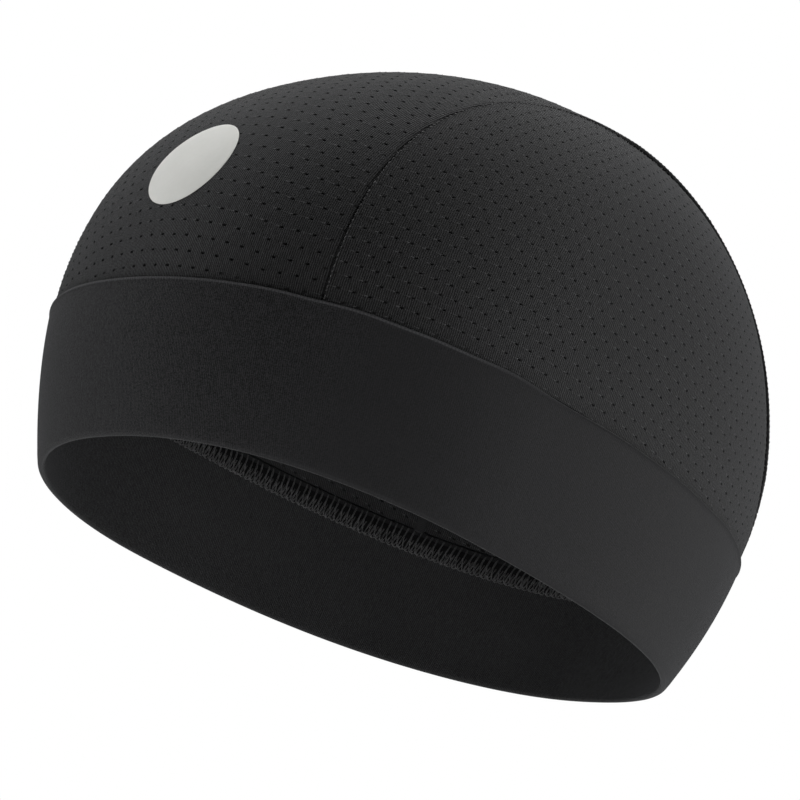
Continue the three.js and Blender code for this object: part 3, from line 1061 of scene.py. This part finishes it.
rings, uvs, edges = [], [], []
girth, whole = ring_run(20.0)
for share, lift, out in band_profile():
    z = foot + lift if share == 0 else foot + FOLD + (top - foot - FOLD) * share + lift
    # the cloth eases in and out a little, and on the flanks the sewn top edge ripples
    ease = 0.12 * np.sin(5 * angles + 0.8) * np.sin(math.pi * share) + 0.08 * np.sin(9 * angles + 2.1)
    ripple = 0.2 * np.sin(14 * angles + 1.0) + 0.13 * np.sin(23 * angles)
    z = z + ripple * share ** 6 * (1 - np.cos(2 * angles)) / 2
    rings.append(form_point(angles, z, out + ease * (1 if share else 0.6)))
    uvs.append(np.stack([girth, z], -1))
    edges.append(np.stack([girth, 0 * girth + to_band_edge(share, lift, out)], -1))
fold_row = [share for share, _, _ in band_profile()].index(0) + FOLD_STEPS // 2
faces = [f[::-1] for f in grid_faces(len(rings), RING_SIDES, close_rows=True)]
band = make_mesh(
    "band_jersey", np.concatenate(rings), faces, band_cloth,
    uvs=np.concatenate(uvs), rows=np.concatenate(edges), wrap=whole,
    inside=(band_inside, (np.arange(len(faces)) >= fold_row * RING_SIDES).astype(np.int32)),
)
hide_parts("band")

# Overlocked strip: height over the band's top edge and out
STRIP_OUTER = BAND_INNER - CLEARANCE
STRIP_INNER = STRIP_OUTER - 0.8
STRIP_SLOPE = (
    (-2.2, STRIP_INNER), (-0.6, STRIP_OUTER - 0.4), (0.6, STRIP_OUTER - 0.05),
    (STRIP_RISE + 0.2, STRIP_OUTER + 0.18),
)
STRIP_TOP = ((STRIP_RISE, STRIP_OUTER + 0.12), *STRIP_SLOPE[::-1])
STRIP_REST = (
    (-3.5, STRIP_INNER), (-5.5, STRIP_INNER), (-6.1, STRIP_INNER + 0.15), (-6.2, STRIP_OUTER - 0.3),
    (-6.0, STRIP_OUTER - 0.05), (-3.5, STRIP_OUTER), (-1.0, STRIP_OUTER),
)
rings = [form_point(angles, top + lift, out) for lift, out in STRIP_TOP + STRIP_REST]
girth, whole = ring_run(40.0)
uvs = [np.stack([girth, 0 * girth + lift], -1) for lift, _ in STRIP_TOP + STRIP_REST]
faces = grid_faces(len(rings), RING_SIDES, close_rows=True)
# the strip's top rows take the lit copy, the rest the painted-shade copy
strip = make_mesh(
    "seam_allowance", np.concatenate(rings), faces, shaded_strip_cloth, uvs=np.concatenate(uvs), wrap=whole,
    inside=(fold_cloth, (np.arange(len(faces)) < (len(STRIP_TOP) - 2) * RING_SIDES).astype(np.int32)),
)
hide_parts("seam_strip")

# Looper threads: each stitch is a leg that forks into an A down to the free edge, with a purl loop there.
STITCH_PITCH = 1.8
THREAD = 0.23
LEG_SHARES = (1.0, 0.85, 0.7)
LEG_UNEVEN = 0.3
PURL_STEPS = 6
PURL_HEIGHT, PURL_SWING, PURL_UNEVEN = -6.1, 0.22, 0.08
ring_angles = np.append(angles, math.pi + TAU)
girth_at = length_along(form_point(ring_angles, 40.0, STRIP_INNER))
stitches = int(round(girth_at[-1] / STITCH_PITCH))
step = girth_at[-1] / stitches
on_cloth = -THREAD * 0.7
rng = np.random.default_rng(11)


def strip_place(run, lift, off):
    """A point by the strip's inner face: run along the girth, height over the band's top, off the face."""
    angle = np.interp(np.asarray(run) % girth_at[-1], girth_at, ring_angles)
    heights, outs = zip(*STRIP_SLOPE)
    return form_point(angle, band_top(angle) + lift, np.interp(lift, heights, outs) + off)


def smoothed(path):
    """A path of few points with soft bends, from listed points."""
    path = read_off(np.linspace(0, len(path) - 1, 2 * len(path) - 1), np.arange(len(path)), path)
    for _ in range(2):
        path[1:-1] = (path[:-2] + 2 * path[1:-1] + path[2:]) / 4
    return path


def stitch_legs(rng):
    """The legs of one stitch: run from its middle, height over the band's top edge, and off the cloth."""
    high = 0.6 + rng.uniform(-0.45, 0.3)
    fork = -2.6 + rng.uniform(-0.35, 0.35)
    low = -6.0 + rng.uniform(-0.25, 0.1)
    skew = 0.30 + rng.uniform(-0.2, 0.2)
    spread = rng.uniform(-0.12, 0.12)
    # the needle leg leans over the edge and down to the loopers
    needle = (
        (-skew, high, 0.3), (-skew, high + 0.12, 0.05), (-skew * 0.6, -1.3, on_cloth - 0.14),
        (0, fork, on_cloth - 0.18), (0.36 + spread, -4.2, on_cloth - 0.14),
        (0.62 + spread, low + 0.6, on_cloth - 0.08), (0.52 + spread, low, on_cloth + 0.05),
        (0.30, low + 0.25, on_cloth + 0.1),
    )
    # the looper leg forks off it and crosses the next stitch
    looper = (
        (-skew * 0.2, fork + 0.5, on_cloth - 0.05), (-0.18, fork - 0.8, on_cloth - 0.18),
        (-0.46, -4.5, on_cloth - 0.10), (-0.66, low + 0.5, on_cloth - 0.02),
        (-0.80, low - 0.1, on_cloth + 0.2),
    )
    crossing = (
        (-0.95, -2.6, on_cloth + 0.15), (-0.55, -4.2, on_cloth - 0.02), (-0.15, low + 0.5, on_cloth - 0.08),
        (0.3, low - 0.1, on_cloth + 0.15),
    )
    return needle, looper, crossing


threads = Heap()
for k in range(stitches):
    run = (k + 0.5) * step + rng.uniform(-0.2, 0.2)
    for leg, thick in zip(stitch_legs(rng), LEG_SHARES):
        path = smoothed(np.array(leg) + (run, 0, 0))
        radius = THREAD * thick * (1 + rng.uniform(-LEG_UNEVEN, LEG_UNEVEN, len(path)))
        threads.add(*tube(strip_place(*path.T), radius))
purl = np.arange(stitches * PURL_STEPS) * step / PURL_STEPS
wave = np.arange(stitches * PURL_STEPS) * TAU / PURL_STEPS
purl_height = PURL_HEIGHT + PURL_SWING * np.cos(wave) + rng.uniform(-PURL_UNEVEN, PURL_UNEVEN, len(purl))
path = strip_place(purl, purl_height, on_cloth + 0.28 + PURL_SWING * np.sin(wave))
threads.add(*tube(path, THREAD * 0.8, closed=True))
threads.mesh("overlock_stitches", overlock_yarn)

# Crown seams: the sewn allowance that closes each ditch from inside, as places across it and outwards
RIDGE = (
    (-1.6, -1.15), (-0.5, -1.0), (0.0, -0.95), (0.5, -1.0), (1.6, -1.15),
    (1.5, -1.45), (0.5, -1.8), (-0.5, -1.8), (-1.5, -1.45),
)
RIDGE_UV_STEP = 0.6
BIGHT_RADIUS = 0.15
BIGHT_LONG, BIGHT_BESIDE, BIGHT_HIGH, BIGHT_PITCH = (0.4, 0.95), (0.24, 0.34), (0.08, 0.15), (0.9, 2.1)
BIGHT_ENDS = (1.0, 1.5)
for side, label in SIDES:
    line = seam_line(side, 0.0, count=700)
    ahead = unit(np.gradient(line, axis=0))
    angle, z = plan_angle(line), line[:, 2]
    aside = form_point(angle + 0.004, z) - line
    above = form_point(angle, np.minimum(z + 0.05, CROWN_HEIGHT - 0.05)) - line
    facing = unit(np.cross(aside, above))
    inwards = (facing * unit(FORM_MIDDLE - line)).sum(-1, keepdims=True) > 0
    facing = np.where(inwards, -facing, facing)
    across = unit(np.cross(ahead, facing))
    rings = np.stack([line + across * s + facing * d for s, d in RIDGE], 1).reshape(-1, 3)
    count = len(RIDGE)
    run = length_along(line)
    ridge = make_mesh(
        f"crown_seam_{label}", rings, grid_faces(len(line), count) + end_caps(len(line), count), fold_cloth,
        uvs=np.stack([np.repeat(run, count), np.tile(np.arange(count) * RIDGE_UV_STEP, len(line))], -1),
    )
    # bights of the seam thread that show on the side panel's edge
    bights = Heap()
    away = across * np.sign(across[:, :1]) * side
    place = BIGHT_ENDS[0]
    while place < run[-1] - BIGHT_ENDS[1]:
        long, beside, high = (rng.uniform(*span) for span in (BIGHT_LONG, BIGHT_BESIDE, BIGHT_HIGH))
        share = np.linspace(-0.5, 0.5, 5)
        at = place + share * long
        on_seam, aside, outward = (read_off(at, run, table) for table in (line, away, facing))
        beside_line = (beside + 0.1 * share)[:, None]
        over_cloth = (high - 0.6 * share ** 2)[:, None]
        bights.add(*tube(on_seam + aside * beside_line + outward * over_cloth, BIGHT_RADIUS))
        place += rng.uniform(*BIGHT_PITCH)
    bights.mesh(f"crown_seam_thread_{label}", seam_yarn)

# Round print, from rings of points: share of the radius and height over the cloth
DISC_ROWS = (
    (0.002, 0.14), (0.25, 0.14), (0.5, 0.14), (0.75, 0.14), (0.93, 0.14), (0.98, 0.13), (0.995, 0.11),
    (1.0, 0.07), (0.998, 0.03),
)
DISC_SIDES = 160
DISC_LIFT = 0.03
DISC_EDGE_SHARE = 0.993
BACK_SHARE = 0.4
RAY_BACK = 25


def disc_frame():
    """The disc's middle, and unit vectors across it, up it and outwards."""
    angle = -FORM_TURN
    for _ in range(20):
        p = form_point(angle, DISC_HEIGHT)
        angle = angle - math.atan2(p[0], WIDEST_Y - p[1])
    step = 0.01
    centre = form_point(angle, DISC_HEIGHT)
    across = unit(form_point(angle + step, DISC_HEIGHT) - centre)
    slope = unit(form_point(angle, DISC_HEIGHT + step) - centre)
    facing = unit(np.cross(across, slope))
    return centre, across, np.cross(facing, across), facing


centre_point, disc_across, disc_up, disc_facing = disc_frame()


def on_disc(x, y, out):
    on_plane = centre_point + np.multiply.outer(x, disc_across) + np.multiply.outer(y, disc_up)
    start = on_plane - disc_facing * RAY_BACK
    way = np.broadcast_to(disc_facing, start.shape)
    on_form = start + way * along_ray(start, way, 0, 60)[..., None]
    return on_form + way * out


turn = TAU * np.arange(DISC_SIDES) / DISC_SIDES
rings, uvs = [], []
for share, high in (*DISC_ROWS, (BACK_SHARE * DISC_ROWS[-1][0], 0.0)):
    radius = DISC_DIAMETER / 2 * DISC_EDGE_SHARE * share
    x, y = radius * np.cos(turn), radius * np.sin(turn)
    rings.append(on_disc(x, y, DISC_LIFT + high))
    uvs.append(np.stack([x, y], -1))
faces = grid_faces(len(rings), DISC_SIDES) + end_caps(len(rings), DISC_SIDES)
disc = make_mesh("front_disc_print", np.concatenate(rings), faces, disc_film, uvs=np.concatenate(uvs))
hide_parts("front_disc")

# Floor
FLOOR_Z = -1.6
FLOOR_RADIUS = 13.5
FLOOR_SIDES = 96
floor_material = Nodes("pale_floor")
floor_noise = floor_material.add("ShaderNodeTexNoise", {"Scale": 3.0}).outputs[0]
floor_material.set(
    Base_Color=floor_material.ramp(floor_noise, 0.3, 0.7, (0.86, 0.86, 0.86), (0.9, 0.9, 0.9)), Roughness=0.9
)
turn = TAU * np.arange(FLOOR_SIDES) / FLOOR_SIDES
corners = [(FLOOR_RADIUS * math.cos(t), FLOOR_RADIUS * math.sin(t), FLOOR_Z) for t in turn]
floor_mesh = bpy.data.meshes.new("floor")
floor_mesh.from_pydata(corners, [], [tuple(range(FLOOR_SIDES))])
floor_mesh.materials.append(floor_material.material)
floor = bpy.data.objects.new("floor", floor_mesh)
bpy.context.scene.collection.objects.link(floor)

# Light: the world is white to the camera and nearly dark as a light
WORLD_LIGHT = 0.02
world = bpy.data.worlds.new("studio")
bpy.context.scene.world = world
world.use_nodes = True
tree = world.node_tree
background = tree.nodes["Background"]
background.inputs["Color"].default_value = (1, 1, 1, 1)
path = tree.nodes.new("ShaderNodeLightPath")
level = tree.nodes.new("ShaderNodeMapRange")
level.inputs["To Min"].default_value = WORLD_LIGHT
level.inputs["To Max"].default_value = 1.0
tree.links.new(path.outputs["Is Camera Ray"], level.inputs["Value"])
tree.links.new(level.outputs["Result"], background.inputs["Strength"])


def add_light(name, kind, energy, turn, **settings):
    light = bpy.data.lights.new(name, kind)
    light.energy = energy
    for key, value in settings.items():
        setattr(light, key, value)
    lamp = bpy.data.objects.new(name, light)
    lamp.rotation_euler = turn.to_euler()
    bpy.context.scene.collection.objects.link(lamp)
    return lamp


# far soft lights: where each shines from, how wide it is in degrees, and its strength
for name, way, spread, strength in (
    ("overhead", (0, 0, 1), 60, 2.33),
    ("left_high", (-0.7, 0.1, 0.7), 50, 0.64),
    ("behind_right", (0.55, 0.8, 0.25), 40, 1.41),
):
    add_light(name, "SUN", strength, Vector(way).to_track_quat("Z", "Y"), angle=math.radians(spread))
# round lights nearby, with their places in metres and their watts
LIGHT_AIM = Vector((0, -0.017, 0.06))
LIGHT_SIZE = 0.8
for name, place, watts in (("left_low", (-1.35, -0.6, 0.45), 3.0), ("right_low", (0.6, 1.35, 0.35), 1.9)):
    turn = (LIGHT_AIM - Vector(place)).to_track_quat("-Z", "Y")
    lamp = add_light(name, "AREA", watts, turn, shape="DISK", size=LIGHT_SIZE)
    lamp.location = place
    lamp.visible_camera = False

# Camera, aimed so that its target lands on a given pixel of the picture
CAMERA_TARGET = Vector((0, -17.1, 57.8)) * METRES
CAMERA_AZIMUTH = math.radians(50.365)
CAMERA_ELEVATION = math.radians(-16.691)
CAMERA_ROLL = math.radians(-19.005)
CAMERA_DISTANCE = 1059.705 * METRES
FOCAL_PIXELS = 4026.58
IMAGE_PIXELS = 800
TARGET_AT = (379.83, 355.35)

sideways, forwards = math.sin(CAMERA_AZIMUTH), math.cos(CAMERA_AZIMUTH)
cos_e = math.cos(CAMERA_ELEVATION)
back = Vector((sideways * cos_e, -forwards * cos_e, math.sin(CAMERA_ELEVATION)))
level_right = Vector((forwards, sideways, 0))
level_up = back.cross(level_right)
right = level_right * math.cos(CAMERA_ROLL) - level_up * math.sin(CAMERA_ROLL)
up = level_right * math.sin(CAMERA_ROLL) + level_up * math.cos(CAMERA_ROLL)
eye = CAMERA_TARGET + back * CAMERA_DISTANCE
per_pixel = CAMERA_DISTANCE / FOCAL_PIXELS
across, down = (IMAGE_PIXELS / 2 - at for at in TARGET_AT)
aim = CAMERA_TARGET + (right * across - up * down) * per_pixel
look_back = (eye - aim).normalized()
look_right = up.cross(look_back).normalized()
look_up = look_back.cross(look_right)
lens = bpy.data.cameras.new("camera")
lens.sensor_width = 36
lens.lens = FOCAL_PIXELS / IMAGE_PIXELS * lens.sensor_width
lens.clip_start, lens.clip_end = 0.05, 60
camera = bpy.data.objects.new("camera", lens)
camera.matrix_world = Matrix.Translation(eye) @ Matrix((look_right, look_up, look_back)).transposed().to_4x4()
bpy.context.scene.collection.objects.link(camera)
bpy.context.scene.camera = camera
bpy.context.scene.view_settings.view_transform = "Standard"
